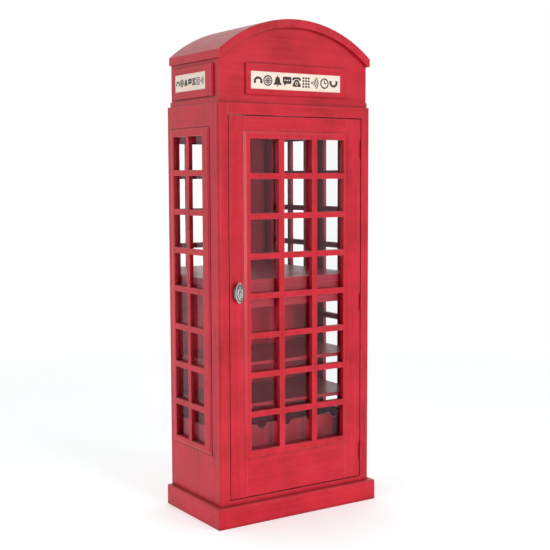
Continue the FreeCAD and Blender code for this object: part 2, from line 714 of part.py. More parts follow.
def header_end(label, front):
    """A board whose top follows the vault."""
    body = new_body(label)
    sketch = new_sketch(body, "XZ_Plane", "outline")
    half = number(HEADER_HALF)
    low = number("body_top")
    crown = number("header_top + vault_rise")
    radius = (number("vault_half") ** 2 + number("vault_rise") ** 2) / (2 * number("vault_rise"))
    shoulder = crown - radius + (radius ** 2 - half ** 2) ** 0.5
    outline(sketch, [(-half, low), (half, low), (half, shoulder), ((0, crown), (-half, shoulder))])
    padded(body, sketch, "header_board", -1, Y_AXIS)
    place(body, y="%s + header_board" % front)
    part(body, label)


def header():
    def upper_outer_edge(middle):
        outer = near(abs(middle.x), HEADER_HALF + " + strip_proud")
        return outer and near(middle.z, "body_top + strip_height")

    header_end("header_front", HEADER_FRONT)
    header_end("header_back", "%s - header_board" % HEADER_BACK)
    between = ("%s + header_board" % HEADER_FRONT,
               "%s - %s - 2 * header_board" % (HEADER_BACK, HEADER_FRONT))
    height = ("body_top", "header_top - body_top")
    strips = []
    for label, start, strip in (
            ("header_left", "-%s" % HEADER_HALF, "-%s - strip_proud" % HEADER_HALF),
            ("header_right", "%s - header_board" % HEADER_HALF, HEADER_HALF)):
        part(box((start, "header_board"), between, height), label)
        bar = box((strip, "strip_proud"), (HEADER_FRONT, "%s - %s" % (HEADER_BACK, HEADER_FRONT)),
                  ("body_top", "strip_height"))
        strips.append(rounded(bar, "edge_round", upper_outer_edge))
    part(group(strips), "header_strips")


def roof():
    """A bent board of even thickness with upright edges at the eaves."""
    body = new_body("roof")
    sketch = new_sketch(body, "XZ_Plane", "outline")
    half = number("roof_half")
    low = number("header_top")
    edge = low + number("roof_edge")
    inner = number("vault_half")
    outline(sketch, [
        (-inner, low), (-half, low), (-half, edge),
        ((0, number("roof_top")), (half, edge)),
        (half, low), (inner, low),
        ((0, low + number("vault_rise")), (-inner, low)),
    ])
    front = "(%s - roof_front)" % HEADER_FRONT
    back = "(%s + roof_back)" % HEADER_BACK
    pad = padded(body, sketch, "%s - %s" % (back, front), -1, Y_AXIS)
    place(body, y=back)
    edges = []
    for index, item in enumerate(pad.Shape.Edges, start=1):
        middle = item.CenterOfMass
        top = item.BoundBox.ZMin > edge - SAME
        end_upright = near(abs(middle.x), "roof_half") and item.BoundBox.YLength < SAME
        if top or end_upright:
            edges.append("Edge%d" % index)
    soften = body.newObject("PartDesign::Fillet", "soften")
    soften.Base = (pad, edges)
    bind(soften, Radius="edge_round")
    body.Tip = soften
    part(body, "roof")


def sign_frame(x, y, low, height, outer_axis):
    """A flat raised frame with rounded outer edges; the opening for the plate is cut by the caller."""
    raw = box(x, y, (low, height))
    doc.recompute()
    limit = raw.Shape.BoundBox
    face = {"-y": limit.YMin, "-x": limit.XMin, "+x": limit.XMax}[outer_axis]

    def outer_edge(middle):
        place_along = middle.y if outer_axis == "-y" else middle.x
        return abs(place_along - face) < SAME

    return rounded(raw, "sign_round", outer_edge)


def signs():
    plate_z = ("plate_low", "plate_height")
    depth = (HEADER_FRONT + " - sign_board", "sign_board")
    frame = sign_frame(("-front_frame_width / 2", "front_frame_width"), depth,
                       "front_frame_low", "front_frame_height", "-y")
    opening_x = ("-front_plate_width / 2", "front_plate_width")
    hole = box(opening_x, (HEADER_FRONT + " - 2 * sign_board", "3 * sign_board"), plate_z)
    part(cut(frame, hole), "front_sign_frame")
    plate_y = (HEADER_FRONT + " - sign_board + sign_recess", "sign_board - sign_recess")
    part(box(opening_x, plate_y, plate_z), "front_sign_plate")

    frames = []
    plates = []
    turn_y = "2 * front_y + body_depth"
    for outer_axis, frame_y, plate_y in (
            ("-x", "side_frame_y", "side_plate_y"),
            ("+x", turn_y + " - side_frame_y - side_frame_width",
             turn_y + " - side_plate_y - side_plate_width")):
        left = outer_axis == "-x"
        start = "-%s - sign_board" % HEADER_HALF if left else HEADER_HALF
        frame = sign_frame((start, "sign_board"), (frame_y, "side_frame_width"),
                           "side_frame_low", "side_frame_height", outer_axis)
        hole_x = ("-%s - 2 * sign_board" % HEADER_HALF if left else HEADER_HALF + " - sign_board",
                  "3 * sign_board")
        frames.append(cut(frame, box(hole_x, (plate_y, "side_plate_width"), plate_z)))
        plate_x = "-%s - sign_board + sign_recess" % HEADER_HALF if left else HEADER_HALF
        plates.append(box((plate_x, "sign_board - sign_recess"), (plate_y, "side_plate_width"), plate_z))
    part(group(frames), "side_sign_frames")
    part(group(plates), "side_sign_plates")


# ---------------------------------------------------------------------------------------------------
# Door
# ---------------------------------------------------------------------------------------------------

def knob_screw():
    """A countersunk screw from inside the door into the knob's stem."""
    axis = -Y_AXIS
    head = doc.addObject("Part::Cone", "head")
    head.Placement = FreeCAD.Placement(Vector(), FreeCAD.Rotation(Z_AXIS, axis))
    bind(head, Radius1="knob_screw_head", Radius2="knob_screw_shank", Height="knob_screw_sink")
    place(head, "knob_x", DOOR_INNER, "knob_z")
    length = "door_board + knob_screw_bite"
    shank = cylinder("knob_screw_shank", length, axis, "knob_x", DOOR_INNER, "knob_z")
    return fuse([head, shank])


def knob(screw):
    """An oval plate on the door, and an oval head on a short stem. The plate is the back half of an
    oval dome, so that its rim is rounded and its front is flat."""
    rose = doc.addObject("Part::Ellipsoid", "rose")
    rose.Angle1 = -90
    rose.Angle2 = 90
    bind(rose, Radius1="rose_thick * 2", Radius2="rose_half_width", Radius3="rose_half_height")
    rose.Placement = FreeCAD.Placement(Vector(), FreeCAD.Rotation(X_AXIS, 90))
    place(rose, "knob_x", FRONT, "knob_z")
    slab = box(("knob_x - 2 * rose_half_width", "4 * rose_half_width"),
               ("front_y - rose_thick", "rose_thick"),
               ("knob_z - 2 * rose_half_height", "4 * rose_half_height"))
    common = doc.addObject("Part::MultiCommon", "rose_slice")
    common.Shapes = [rose, slab]
    stem = cylinder("knob_stem", "knob_reach - knob_half_depth", -Y_AXIS, "knob_x", FRONT, "knob_z")
    part(cut(common, stem), "knob_rose")

    head = doc.addObject("Part::Ellipsoid", "head")
    head.Angle1 = -90
    head.Angle2 = 90
    bind(head, Radius1="knob_half_depth", Radius2="knob_half_width", Radius3="knob_half_height")
    head.Placement = FreeCAD.Placement(Vector(), FreeCAD.Rotation(X_AXIS, 90))
    place(head, "knob_x", "front_y - knob_reach + knob_half_depth", "knob_z")
    part(cut(fuse([head, stem]), screw), "knob")
    part(screw, "knob_screw")


def door(door_screws):
    screw = knob_screw()
    depth = (FRONT, "door_board")
    height = (DOOR_LOW, "%s - %s" % (DOOR_HIGH, DOOR_LOW))
    inner = "(door_sash_half - door_lip)"
    low_end = "(door_sash_sill + door_lip)"
    high_start = "(%s - door_lip)" % DOOR_SASH_HIGH
    rebate = (
        ("-door_sash_half - door_sash_gap", "2 * door_sash_half + 2 * door_sash_gap"),
        ("front_y - overcut", "%s + overcut" % DOOR_REBATE),
        ("door_sash_sill - door_sash_gap", "%s - door_sash_sill + 2 * door_sash_gap" % DOOR_SASH_HIGH),
    )

    def rim(middle):
        on_rim = near(abs(middle.x), DOOR_HALF) or near(middle.z, DOOR_LOW) or near(middle.z, DOOR_HIGH)
        return on_rim and near(middle.y, FRONT)

    def rebated(x, z):
        return rounded(cut(box(x, depth, z), box(*rebate)), "edge_round", rim)

    stile = "%s - %s" % (DOOR_HALF, inner)
    part(cut(rebated(("-%s" % DOOR_HALF, stile), height), screw), "door_left_stile")
    part(cut(rebated((inner, stile), height), door_screws), "door_right_stile")
    between = ("-%s" % inner, "2 * %s" % inner)
    part(rebated(between, (high_start, "%s - %s" % (DOOR_HIGH, high_start))), "door_top_rail")
    part(rebated(between, (DOOR_LOW, "%s - %s" % (low_end, DOOR_LOW))), "door_bottom_panel")

    sash = window_grid(
        "door_sash", "XZ_Plane", Y_AXIS,
        size=("-door_sash_half", "door_sash_sill", "2 * door_sash_half",
              "%s - door_sash_sill" % DOOR_SASH_HIGH, "door_sash_board"),
        first_pane=("-door_sash_half + door_border", "door_sash_sill + door_border_low"),
        pane=("door_pane_width", "pane_height"),
        steps=("door_pane_width + door_bar", "pane_height + cross_bar"),
        counts=(DOOR_COLUMNS, ROWS))
    place(sash, y="front_y - proud")
    part(sash, "door_sash")

    glass_y = "front_y + %s" % DOOR_REBATE
    opening_z = (low_end, "%s - %s" % (high_start, low_end))
    part(box(between, (glass_y, "glass_thick"), opening_z), "door_glass")
    bead_y = ("%s + glass_thick" % glass_y, "door_board - %s - glass_thick" % DOOR_REBATE)
    level_x = ("-%s + bead_side" % inner, "2 * %s - 2 * bead_side" % inner)
    beads = [
        box(("-%s" % inner, "bead_side"), bead_y, opening_z),
        box(("%s - bead_side" % inner, "bead_side"), bead_y, opening_z),
        box(level_x, bead_y, (low_end, "bead_side")),
        box(level_x, bead_y, ("%s - bead_side" % high_start, "bead_side")),
    ]
    part(group(beads), "door_glass_beads")
    knob(screw)
    strike_x = ("catch_x + strike_margin", "catch_width - 2 * strike_margin")
    strike_z = ("%s - strike_margin - strike_height" % DOOR_HIGH, "strike_height")
    part(box(strike_x, (DOOR_INNER, "strike_thick"), strike_z), "strike_plate")


# ---------------------------------------------------------------------------------------------------
# Build, check and write
# ---------------------------------------------------------------------------------------------------

shared_pins = shelf_pins()
shared_frame_screws = hinge_screws(1)
shared_door_screws = hinge_screws(-1)
plinth()
face_frame(shared_frame_screws)
side_panels(shared_pins)
carcass_boards()
shelves(shared_pins)
bottle_rack()
catch()
header()
roof()
signs()
door(shared_door_screws)
hinges(shared_frame_screws, shared_door_screws)

doc.recompute()
for thing in doc.Objects:
    if "Invalid" in thing.State or "Error" in thing.State:
        raise RuntimeError("%s (%s) is %s" % (thing.Label, thing.Name, thing.State))
labels = [thing.Label for thing in sub_parts]
if len(set(labels)) != len(labels):
    raise RuntimeError("two sub-parts share a label")

os.makedirs("parts", exist_ok=True)
whole = FreeCAD.BoundBox()
for thing in sub_parts:
    shape = thing.Shape
    if shape.isNull() or not shape.isValid() or not shape.Solids:
        raise RuntimeError(thing.Label + " has no valid solid")
    whole.add(shape.optimalBoundingBox(False))
    shape.exportStep("parts/%s.step" % thing.Label)
print("%d sub-parts" % len(sub_parts))
print("box X %.2f..%.2f Y %.2f..%.2f Z %.2f..%.2f" % (
    whole.XMin, whole.XMax, whole.YMin, whole.YMax, whole.ZMin, whole.ZMax))
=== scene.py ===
# %% [markdown]
# # Finishing a booth-shaped cabinet
# The real object is a tall drinks cabinet in the shape of a street telephone booth: painted wood,
# rows of small panes, a mirror inside and an aged silver knob. Its solid pieces come ready made from
# the packed model and stay where they are. This lesson gives them their finishes, adds the small
# pieces that only the eye needs, and sets them in a plain studio.

# %% Load the frame
import json
import math

import bmesh
import bpy
from mathutils import Matrix, Vector
from mathutils.geometry import tessellate_polygon


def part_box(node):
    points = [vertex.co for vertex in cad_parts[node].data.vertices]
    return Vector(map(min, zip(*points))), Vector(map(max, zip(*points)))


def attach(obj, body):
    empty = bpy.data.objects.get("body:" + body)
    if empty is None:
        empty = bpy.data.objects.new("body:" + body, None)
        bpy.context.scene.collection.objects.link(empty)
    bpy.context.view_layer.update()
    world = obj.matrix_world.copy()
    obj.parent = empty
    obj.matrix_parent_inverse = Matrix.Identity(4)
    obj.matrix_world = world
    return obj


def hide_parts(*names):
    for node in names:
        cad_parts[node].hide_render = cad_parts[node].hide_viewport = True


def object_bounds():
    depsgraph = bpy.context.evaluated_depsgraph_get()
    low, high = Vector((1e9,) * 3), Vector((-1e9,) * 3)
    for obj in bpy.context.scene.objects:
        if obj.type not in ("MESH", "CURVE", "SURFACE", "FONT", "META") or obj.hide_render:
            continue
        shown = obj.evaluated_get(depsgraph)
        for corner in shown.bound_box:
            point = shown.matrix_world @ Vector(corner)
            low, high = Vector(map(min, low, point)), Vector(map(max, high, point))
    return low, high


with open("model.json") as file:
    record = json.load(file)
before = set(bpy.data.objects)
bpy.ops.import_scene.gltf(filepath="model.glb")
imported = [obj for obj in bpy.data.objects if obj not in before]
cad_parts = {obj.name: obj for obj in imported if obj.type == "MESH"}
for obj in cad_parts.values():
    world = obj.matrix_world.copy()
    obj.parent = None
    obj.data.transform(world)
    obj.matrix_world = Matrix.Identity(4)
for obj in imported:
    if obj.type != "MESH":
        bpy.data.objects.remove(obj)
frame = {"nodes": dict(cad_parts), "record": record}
cad_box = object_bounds()
MM = 0.001
print("pieces loaded:", len(frame["nodes"]))

# %% [markdown]
# ## Shader values that read like sums
# A finish is a network of nodes. Wiring each node by hand hides what the finish does, so one small
# class stands for a value on its way through the network. Adding, subtracting or multiplying two of
# them adds the Math node that does it, in either order, so `1 - dust` reads as it sounds.

# %% A value in a finish
class Wire:
    """A value on its way through a finish."""

    def __init__(self, mix, socket):
        self.mix = mix
        self.socket = socket

    def math(self, operation, *values, clip=False):
        settings = {"operation": operation, "use_clamp": clip}
        return self.mix.add("ShaderNodeMath", settings, dict(enumerate(values)))

    def __add__(self, other):
        return self.math("ADD", self, other)

    def __sub__(self, other):
        return self.math("SUBTRACT", self, other)

    def __rsub__(self, other):
        return self.math("SUBTRACT", other, self)

    def __mul__(self, other):
        return self.math("MULTIPLY", self, other)

    __radd__ = __add__
    __rmul__ = __mul__

    def clipped(self):
        """The same value, kept between 0 and 1."""
        return self.math("ADD", self, 0.0, clip=True)


print("values can be added, taken away and multiplied")

# %% [markdown]
# ## A bowl to mix a finish in
# Every other kind of node comes from one method: what kind it is, how it is set, and what goes into
# it. Settings come first, because some of them change which sockets a node has. Colours and vectors
# get their own two short methods, since a Math node would turn them grey. A few more methods stand
# for what nearly every finish needs: a place on the piece, a noise pattern, fine bumps.

# %% The mixing bowl
class Mix:
    """A finish, or a sky, while it is being mixed."""

    def __init__(self, tree):
        self.tree = tree
        tree.nodes.clear()

    def add(self, kind, settings=None, values=None, out=0):
        node = self.tree.nodes.new(kind)
        for name, setting in (settings or {}).items():
            setattr(node, name, setting)
        for name, value in (values or {}).items():
            socket = node.inputs[name]
            if isinstance(value, Wire):
                self.tree.links.new(value.socket, socket)
            else:
                socket.default_value = value
        return Wire(self, node.outputs[out] if node.outputs else None)

    def place(self):
        """Where a point lies on the piece, in metres."""
        return self.add("ShaderNodeTexCoord", out="Object")

    def facing(self):
        """The way the surface faces."""
        return self.add("ShaderNodeNewGeometry", out="Normal")

    def blend(self, share, first, second, kind="MIX"):
        """Two colours, with the second one's share."""
        settings = {"data_type": "RGBA", "blend_type": kind}
        return self.add("ShaderNodeMix", settings, {0: share, 6: first, 7: second}, out=2)

    def vector(self, operation, first, second, out=0):
        return self.add("ShaderNodeVectorMath", {"operation": operation}, {0: first, 1: second}, out)

    def spread(self, value, low, high):
        """The value stretched so that low becomes 0 and high becomes 1, and kept there."""
        values = {0: value, 1: low, 2: high, 3: 0.0, 4: 1.0}
        return self.add("ShaderNodeMapRange", {"clamp": True}, values)

    def noise(self, place, fineness, detail=3.0, roughness=0.5):
        values = {"Vector": place, "Scale": fineness, "Detail": detail, "Roughness": roughness}
        return self.add("ShaderNodeTexNoise", None, values)

    def pattern(self, place, fineness, detail, roughness, low, high):
        """Noise of some fineness, none of it where it is under low and all of it over high."""
        return self.spread(self.noise(place, fineness, detail, roughness), low, high)

    def bumps(self, height, depth, strength, direction=None):
        """Bumps as deep as a height says, on a surface that faces a direction."""
        values = {"Strength": strength, "Distance": depth, "Height": height}
        if direction is not None:
            values["Normal"] = direction
        return self.add("ShaderNodeBump", None, values)

    def surface(self, shader):
        self.add("ShaderNodeOutputMaterial", None, {"Surface": shader})

    def coat(self, values):
        self.surface(self.add("ShaderNodeBsdfPrincipled", None, values))


def new_finish(name):
    material = bpy.data.materials.new(name)
    material.use_nodes = True
    return material, Mix(material.node_tree)


print("tools in the bowl:", ", ".join(name for name in vars(Mix) if name[0] != "_"))

# %% Colours as the eye names them
SCREEN_STEPS = 255
DARK_END, DARK_SLOPE = 0.04045, 12.92
CURVE_LIFT, CURVE_POWER = 0.055, 2.4


def screen_colour(red, green, blue):
    """A colour given in screen steps of 0 to 255, as the light values that nodes use."""
    def light(step):
        share = step / SCREEN_STEPS
        if share <= DARK_END:
            return share / DARK_SLOPE
        return ((share + CURVE_LIFT) / (1 + CURVE_LIFT)) ** CURVE_POWER
    return light(red), light(green), light(blue), 1.0


WHITE = screen_colour(255, 255, 255)
print("mid grey as light:", round(screen_colour(128, 128, 128)[0], 3))

# %% [markdown]
# ## Worn edges with painted highlights, and painted shade in corners
# Hands rub paint thin along outer edges, and edges catch the light, so the lighter edge colour is both
# wear and painted highlight. Inner corners get painted shade. The Bevel node bends the surface direction
# close to an edge, so where it differs from the flat direction there is an edge. Ambient Occlusion is
# low in corners. Both follow the shape itself, so each piece gets them where the real one would, from any
# side.

# %% Edges and corners
EDGE_WIDTH = 2.4 * MM
EDGE_SAMPLES = 4
EDGE_BEND = 0.16
CORNER_REACH = 14 * MM
CORNER_SAMPLES = 6


def soft_direction(mix, radius=EDGE_WIDTH):
    return mix.add("ShaderNodeBevel", {"samples": EDGE_SAMPLES}, {"Radius": radius})


def edge_share(mix, direction):
    """1 on an outer or inner edge, and 0 on the flat."""
    alike = mix.vector("DOT_PRODUCT", mix.facing(), direction, out="Value")
    return mix.spread(1 - alike, 0.0, EDGE_BEND)


def open_share(mix, reach=CORNER_REACH, alone=False):
    """1 in the open, and less in corners and gaps. Alone, a piece doesn't notice its neighbours."""
    settings = {"samples": CORNER_SAMPLES, "only_local": alone}
    return mix.add("ShaderNodeAmbientOcclusion", settings, {"Distance": reach}, out="AO")


print("edge width %.1f mm" % (EDGE_WIDTH / MM))

# %% [markdown]
# ## Red paint on wood
# The cabinet is brushed with a satin red. Seen close, it has slow clouds where the coat is thicker,
# streaks along the grain of each board, fine pores, and painted shade that darkens the corners.
# A picture of paint would repeat and stop at joints, so the coat is made of noise in the board's
# own directions: one finish for upright boards, one for those across, one for front to back.

# %% The paint's colours and patterns
RED = screen_colour(198, 22, 44)
RED_THICK = screen_colour(164, 8, 26)
RED_THIN = screen_colour(222, 52, 68)
RED_WORN_AND_HIGHLIGHT = screen_colour(226, 104, 104)
RED_CORNER_SHADE = screen_colour(92, 6, 14)
DUST_AND_SHEEN = screen_colour(168, 118, 118)
NO_SHADE_TINT = WHITE

# The grain is stretched: these are how fast it changes along x, y and z.
ALONG_GRAIN = 0.045
GRAIN_UP = (1.0, 1.0, ALONG_GRAIN)
GRAIN_ACROSS = (ALONG_GRAIN, 1.0, 1.0)
GRAIN_DEEP = (1.0, ALONG_GRAIN, 1.0)

# Each pattern is its fineness, detail and roughness, and where it starts and where it is full.
CLOUDS = (9.0, 5.0, 0.65, 0.34, 0.62)
STREAKS = (60.0, 5.0, 0.65, 0.34, 0.68)
PORES = (520.0, 2.0, 0.5, 0.35, 0.65)
PATCHES = (34.0, 5.0, 0.7, 0.46, 0.62)

# How much of each colour shows where its pattern is full.
STREAK_SHARE, PORE_SHARE = 0.36, 0.22
WORN_AND_HIGHLIGHT_SHARE, CORNER_SHADE_SHARE = 0.62, 0.75

# Painted shade in a corner is full from here and gone from there, and dust with a painted sheen lies
# where the surface faces up.
CORNER_FULL_SHADE, CORNER_NO_SHADE = 0.25, 0.85
DUST_AND_SHEEN_START, DUST_AND_SHEEN_FULL = 0.25, 0.95

# The shine of the paint, and how deep and how strong the brush marks are.
PAINT_ROUGHNESS, PAINT_SHINE = 0.25, 0.24
EDGE_GLOSS, EDGE_GLOSS_ROUGHNESS = 0.5, 0.22
BRUSH_DEPTH, BRUSH_STRENGTH = 0.4 * MM, 0.22
print("paint colours and patterns are ready")


# %% The paint itself
def red_paint(name, grain, shade_tint=NO_SHADE_TINT, edge_wear_and_highlight=1.0, dust_and_sheen_share=0.25, alone=False):
    material, mix = new_finish(name)
    place = mix.place()
    along = mix.vector("MULTIPLY", place, grain)
    clouds = mix.pattern(place, *CLOUDS)
    streaks = mix.pattern(along, *STREAKS)
    pores = mix.pattern(along, *PORES)
    patches = mix.pattern(place, *PATCHES)
    direction = soft_direction(mix)
    edges = edge_share(mix, direction)
    corners = mix.spread(open_share(mix, alone=alone), CORNER_FULL_SHADE, CORNER_NO_SHADE)

    colour = mix.blend(clouds, RED_THICK, RED)
    colour = mix.blend(streaks * STREAK_SHARE, colour, RED_THIN)
    colour = mix.blend((1 - pores) * PORE_SHARE, colour, RED_THICK)
    # Lighter edges: worn paint and a painted highlight together.
    thin = (edges * (0.45 + 0.55 * patches) * corners * edge_wear_and_highlight).clipped()
    colour = mix.blend(thin * WORN_AND_HIGHLIGHT_SHARE, colour, RED_WORN_AND_HIGHLIGHT)
    # Painted shade: corners go darker where Ambient Occlusion finds them closed in.
    colour = mix.blend((1 - corners) * CORNER_SHADE_SHARE, colour, RED_CORNER_SHADE)
    # Dust and painted sheen: surfaces that face up turn paler, both as dust and as the sky light they
    # catch.
    upward = mix.add("ShaderNodeSeparateXYZ", None, {0: mix.facing()}, out="Z")
    dust_and_sheen = mix.spread(upward, DUST_AND_SHEEN_START, DUST_AND_SHEEN_FULL) * (0.5 + 0.5 * clouds) * dust_and_sheen_share
    colour = mix.blend(dust_and_sheen, colour, DUST_AND_SHEEN)
    # Painted shade: a tint darkens the copies of the paint used inside.
    colour = mix.blend(1.0, colour, shade_tint, kind="MULTIPLY")

    roughness = PAINT_ROUGHNESS + 0.11 * streaks + 0.06 * clouds - 0.05 * thin + 0.25 * dust_and_sheen
    height = streaks * 0.6 + pores * 0.25 + patches * 0.3
    mix.coat({
        "Base Color": colour, "Roughness": roughness, "Specular IOR Level": PAINT_SHINE,
        "Coat Weight": edges * EDGE_GLOSS, "Coat Roughness": EDGE_GLOSS_ROUGHNESS,
        "Normal": mix.bumps(height, BRUSH_DEPTH, BRUSH_STRENGTH, direction)})
    return material


paint = {
    "up": red_paint("red_paint_upright_grain", GRAIN_UP),
    "across": red_paint("red_paint_cross_grain", GRAIN_ACROSS),
    "deep": red_paint("red_paint_deep_grain", GRAIN_DEEP),
    "roof": red_paint("red_paint_roof", GRAIN_DEEP, dust_and_sheen_share=0.45),
}
print("outside paints:", len(paint))

# %% The paint inside
# Shelves and the rack are touched and bumped more than the outside, so their edges get more of the
# lighter worn colour, which also paints highlights on the shelf fronts. Less dust and painted sheen lies
# on them, and a tint paints the shade they sit in behind the glass.
PAINTED_SHADE_TINT = (0.76, 0.90, 0.96, 1.0)
INSIDE_SHADE_AND_WEAR = {"shade_tint": PAINTED_SHADE_TINT, "edge_wear_and_highlight": 1.8, "dust_and_sheen_share": 0.16, "alone": True}
shaded_inside_paint = {
    "across": red_paint("inside_paint_cross_grain", GRAIN_ACROSS, **INSIDE_SHADE_AND_WEAR),
    "deep": red_paint("inside_paint_deep_grain", GRAIN_DEEP, **INSIDE_SHADE_AND_WEAR),
}
print("inside paints:", len(shaded_inside_paint))

# %% [markdown]
# ## Painted steel
# The hinges were fitted before the last coat, so they wear the same red. Paint lies smoother and
# thicker on steel than on wood and chips where the leaves rub, so this finish has no grain, a little
# more shine, and small spots where the grey metal shows through.

# %% Red coat on steel
STEEL_GREY = screen_colour(142, 138, 134)
STEEL_CLOUDS = (40.0, 3.0, 0.5, 0.3, 0.7)
CHIPS = (900.0, 4.0, 0.6, 0.60, 0.66)


def painted_steel():
    material, mix = new_finish("red_coat_on_steel")
    place = mix.place()
    clouds = mix.pattern(place, *STEEL_CLOUDS)
    chips = mix.pattern(place, *CHIPS)
    direction = soft_direction(mix, 0.5 * MM)
    edges = edge_share(mix, direction)
    bare = (chips * edges * 0.8).clipped()
    colour = mix.blend(clouds, RED_THICK, RED)
    # Lighter edges: worn paint and a painted highlight together.
    colour = mix.blend(edges * 0.35, colour, RED_WORN_AND_HIGHLIGHT)
    colour = mix.blend(bare, colour, STEEL_GREY)
    mix.coat({
        "Base Color": colour, "Metallic": bare * 0.9, "Roughness": 0.30 + 0.12 * clouds,
        "Specular IOR Level": 0.4, "Normal": mix.bumps(clouds - bare, 0.15 * MM, 0.15, direction)})
    return material


hinge_coat = painted_steel()
print("hinges:", hinge_coat.name)

# %% [markdown]
# ## Bare metals
# The screws are plain steel and the knob is cast, silvered and aged: bright where fingers polish it
# and nearly black in the engraving. Both are the same recipe with other numbers: a metal whose dark
# tarnish sits where the surface is closed in, and is rubbed off the edges.

# %% Tarnished metal
SPOTS = (5.0, 0.65, 0.35, 0.70)
SCRATCH_STRETCH = (1.0, 1.0, 0.12)


def tarnished_metal(name, bright, dark, reach, fineness, smooth):
    """Bright metal, dark within reach of a recess, with spots of some fineness."""
    material, mix = new_finish(name)
    place = mix.place()
    spots = mix.pattern(place, fineness, *SPOTS)
    scratches = mix.noise(mix.vector("MULTIPLY", place, SCRATCH_STRETCH), fineness * 3.0, 2.0)
    recess = mix.spread(open_share(mix, reach), 0.72, 1.0)
    tarnish = ((1 - recess) * 1.1 + spots * 0.35).clipped()
    mix.coat({
        "Base Color": mix.blend(tarnish, bright, dark), "Metallic": 1 - tarnish * 0.45,
        "Roughness": smooth + 0.38 * tarnish + 0.10 * scratches,
        "Normal": mix.bumps(spots + scratches * 0.5, 0.1 * MM, 0.12)})
    return material


aged_silver = tarnished_metal(
    "aged_silver", bright=screen_colour(222, 220, 216), dark=screen_colour(18, 16, 18),
    reach=6.0 * MM, fineness=420.0, smooth=0.14)
screw_steel = tarnished_metal(
    "screw_steel", bright=screen_colour(186, 184, 180), dark=screen_colour(70, 66, 62),
    reach=1.2 * MM, fineness=600.0, smooth=0.30)
print("metals:", aged_silver.name, screw_steel.name)

# %% [markdown]
# ## Glass and mirror
# The panes are thin flat glass: nearly all light goes straight through and a little is mirrored, more
# at a slant. A thick-glass shader would darken the shelves behind it, so clear and glossy shaders
# are mixed by a Fresnel share, with faint wiping marks. Only the side that light comes in by
# mirrors, because the way out of a sheet would turn slanted light back and grey the panes. The
# mirror is bright metal under glass, a touch cloudy where damp crept in.

# %% Clear panes
PANE_GREY = (0.992, 0.996, 0.995, 1.0)
SKY_TINT = (0.80, 0.86, 1.0, 1.0)
GLASS_BEND = 1.5
WIPE_STRETCH = (1.0, 1.0, 0.35)
WIPES = (16.0, 5.0, 0.65, 0.45, 0.75)


def pane_glass(name, shine):
    material, mix = new_finish(name)
    wiped = mix.pattern(mix.vector("MULTIPLY", mix.place(), WIPE_STRETCH), *WIPES)
    slant = mix.add("ShaderNodeFresnel", None, {"IOR": GLASS_BEND})
    outer_side = 1 - mix.add("ShaderNodeNewGeometry", out="Backfacing")
    share = ((slant * shine + wiped * 0.004) * outer_side).clipped()
    clear = mix.add("ShaderNodeBsdfTransparent", None, {"Color": PANE_GREY})
    gloss = mix.add("ShaderNodeBsdfPrincipled", None, {
        "Base Color": SKY_TINT, "Metallic": 1.0, "Roughness": 0.02 + 0.05 * wiped})
    mix.surface(mix.add("ShaderNodeMixShader", None, {0: share, 1: clear, 2: gloss}))
    return material


window_glass = pane_glass("window_glass", 0.60)
side_window_glass = pane_glass("side_window_glass", 0.75)
print("glass:", window_glass.name, side_window_glass.name)

# %% The mirror
SILVERING = (0.95, 0.96, 0.95, 1.0)
CLOUDED = (0.84, 0.85, 0.84, 1.0)
SPECK_BROWN = (0.30, 0.27, 0.25, 1.0)
DAMP = (11.0, 5.0, 0.6, 0.50, 0.80)
MIRROR_SPECKS = (260.0, 2.0, 0.5, 0.72, 0.78)


def mirror_glass():
    material, mix = new_finish("mirror_silvering")
    place = mix.place()
    cloudy = mix.pattern(place, *DAMP)
    specks = mix.pattern(place, *MIRROR_SPECKS)
    colour = mix.blend(cloudy * 0.35, SILVERING, CLOUDED)
    colour = mix.blend(specks * 0.5, colour, SPECK_BROWN)
    mix.coat({
        "Base Color": colour, "Metallic": 1.0, "Roughness": 0.015 + 0.05 * cloudy + 0.2 * specks})
    return material


mirror_face = mirror_glass()
print("mirror:", mirror_face.name)

# %% [markdown]
# ## Sign plates, their print, and plastic
# The plates are cream enamel gone warm with age, with painted shade making them a little darker near
# the frame. The print is thick near-black ink. The catch inside the door is moulded black plastic
# with a fine grain, so light spreads on it in a dull sheen.

# %% Cream enamel
CREAM, CREAM_AGED = screen_colour(243, 224, 208), screen_colour(232, 204, 186)
RUST_SPECK, CREAM_FRAME_SHADE = screen_colour(170, 130, 104), screen_colour(176, 130, 112)
AGEING = (22.0, 5.0, 0.65, 0.35, 0.75)
ENAMEL_SPECKS = (700.0, 3.0, 0.5, 0.66, 0.74)


def cream_enamel():
    material, mix = new_finish("cream_enamel")
    place = mix.place()
    aged = mix.pattern(place, *AGEING)
    specks = mix.pattern(place, *ENAMEL_SPECKS)
    clear_of_frame_shade = mix.spread(open_share(mix, 5 * MM), 0.35, 0.9)
    colour = mix.blend(aged * 0.5, CREAM, CREAM_AGED)
    colour = mix.blend(specks * 0.35, colour, RUST_SPECK)
    # Painted shade: darker where the frame closes round the plate.
    colour = mix.blend((1 - clear_of_frame_shade) * 0.5, colour, CREAM_FRAME_SHADE)
    mix.coat({
        "Base Color": colour, "Roughness": 0.36 + 0.15 * aged,
        "Normal": mix.bumps(aged, 0.2 * MM, 0.08)})
    return material


enamel = cream_enamel()
print("plates:", enamel.name)

# %% Ink
INK, INK_WORN = screen_colour(26, 20, 18), screen_colour(70, 56, 50)
INK_WEAR = (480.0, 4.0, 0.7, 0.55, 0.75)


def print_ink():
    material, mix = new_finish("print_ink")
    worn = mix.pattern(mix.place(), *INK_WEAR)
    mix.coat({
        "Base Color": mix.blend(worn * 0.5, INK, INK_WORN), "Roughness": 0.45 + 0.2 * worn,
        "Normal": mix.bumps(worn, 0.05 * MM, 0.2)})
    return material


ink = print_ink()
print("print:", ink.name)

